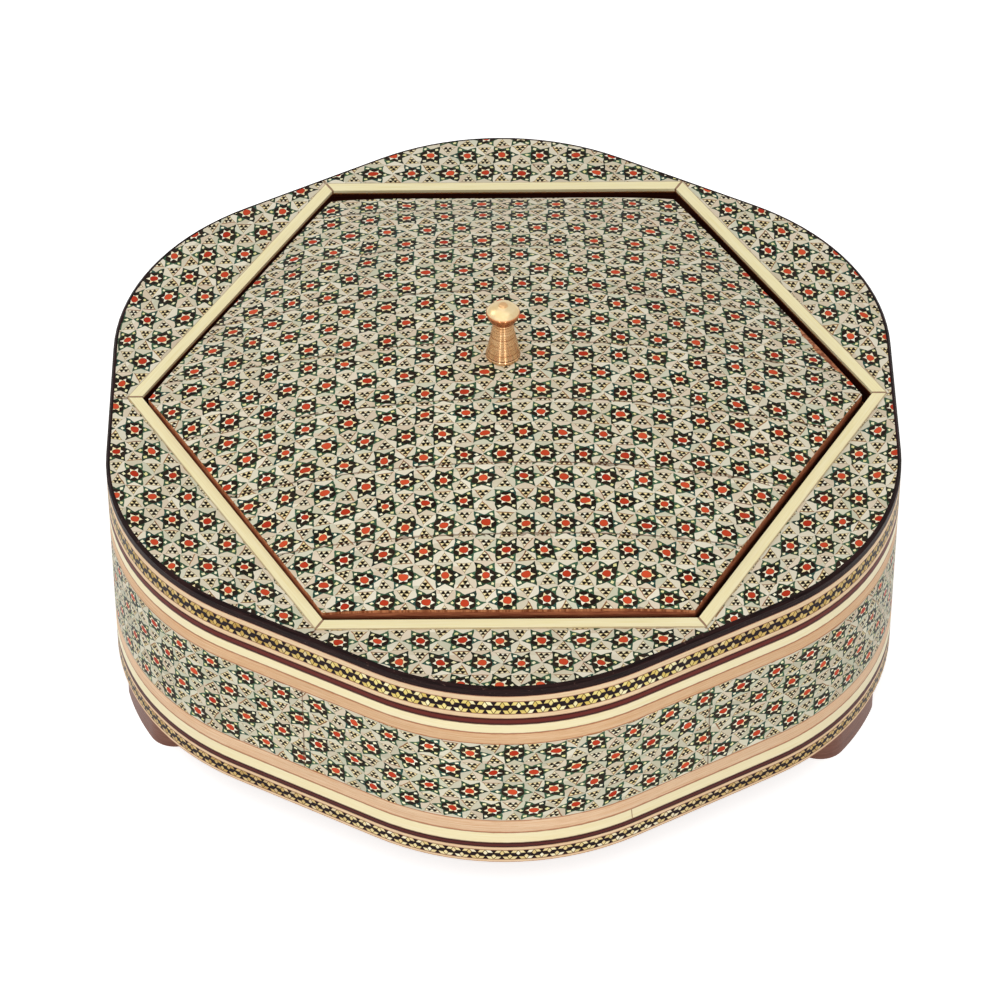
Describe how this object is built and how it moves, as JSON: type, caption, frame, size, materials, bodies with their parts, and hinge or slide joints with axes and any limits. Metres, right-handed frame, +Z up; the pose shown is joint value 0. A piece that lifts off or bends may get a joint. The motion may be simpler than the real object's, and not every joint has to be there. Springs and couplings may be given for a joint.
{
  "type": "inlaid wooden box",
  "caption": "Sweets box in star marquetry: a rounded hexagon on bracket feet, with bone-framed hexagonal mouth and a loose domed lid with a turned brass knob that lifts off.",
  "frame": {"origin": "on the floor, under the middle of the box's outline", "axes": "+Z up; the front faces -Y; +X to the right seen from the front"},
  "size_m": [0.2312, 0.2438, 0.1169],
  "materials": {
    "khatam": "lacquered star marquetry of wood, bone and metal rods",
    "bone": "polished bone strip",
    "braid_inlay": "lacquered yellow and dark rod inlay",
    "tan_wood": "lacquered pale brown strip",
    "light_wood": "lacquered light strip",
    "dark_wood": "lacquered dark strip",
    "lid_wood": "stained red-brown wood",
    "brass": "turned and polished",
    "screw_steel": "plain screw",
    "foot_wood": "stained and lacquered",
    "carcass_wood": "stained plain wood"
  },
  "bodies": {
    "box": {"base_board": "carcass_wood", "bone_frame_back": "bone", "bone_frame_back_left": "bone", "bone_frame_back_right": "bone", "bone_frame_front": "bone", "bone_frame_front_left": "bone", "bone_frame_front_right": "bone", "foot_back_left": "foot_wood", "foot_back_right": "foot_wood", "foot_front_left": "foot_wood", "foot_front_right": "foot_wood", "ledge_board": "carcass_wood", "lower_bone": "bone", "lower_braid": "braid_inlay", "lower_dark": "dark_wood", "lower_light_inner": "light_wood", "lower_light_outer": "light_wood", "lower_tan": "tan_wood", "rim_edging": "dark_wood", "side_khatam_back": "khatam", "side_khatam_back_left": "khatam", "side_khatam_back_right": "khatam", "side_khatam_front": "khatam", "side_khatam_front_left": "khatam", "side_khatam_front_right": "khatam", "top_board": "carcass_wood", "top_khatam_back": "khatam", "top_khatam_back_left": "khatam", "top_khatam_back_right": "khatam", "top_khatam_front": "khatam", "top_khatam_front_left": "khatam", "top_khatam_front_right": "khatam", "upper_bone": "bone", "upper_braid": "braid_inlay", "upper_dark": "dark_wood", "upper_light_inner": "light_wood", "upper_light_outer": "light_wood", "upper_tan": "tan_wood", "wall_back": "carcass_wood", "wall_back_left": "carcass_wood", "wall_back_right": "carcass_wood", "wall_front": "carcass_wood", "wall_front_left": "carcass_wood", "wall_front_right": "carcass_wood"},
    "lid": {"knob": "brass", "knob_screw": "screw_steel", "lid_core": "lid_wood", "lid_khatam_1": "khatam", "lid_khatam_2": "khatam", "lid_khatam_3": "khatam", "lid_khatam_4": "khatam", "lid_khatam_5": "khatam", "lid_khatam_6": "khatam", "lid_khatam_7": "khatam", "lid_khatam_8": "khatam"}
  },
  "joints": [
    {"name": "lid_lift", "type": "slide", "parent": "box", "child": "lid", "axis": [0, 0, 1], "range_m": [0, 0.08]}
  ]
}
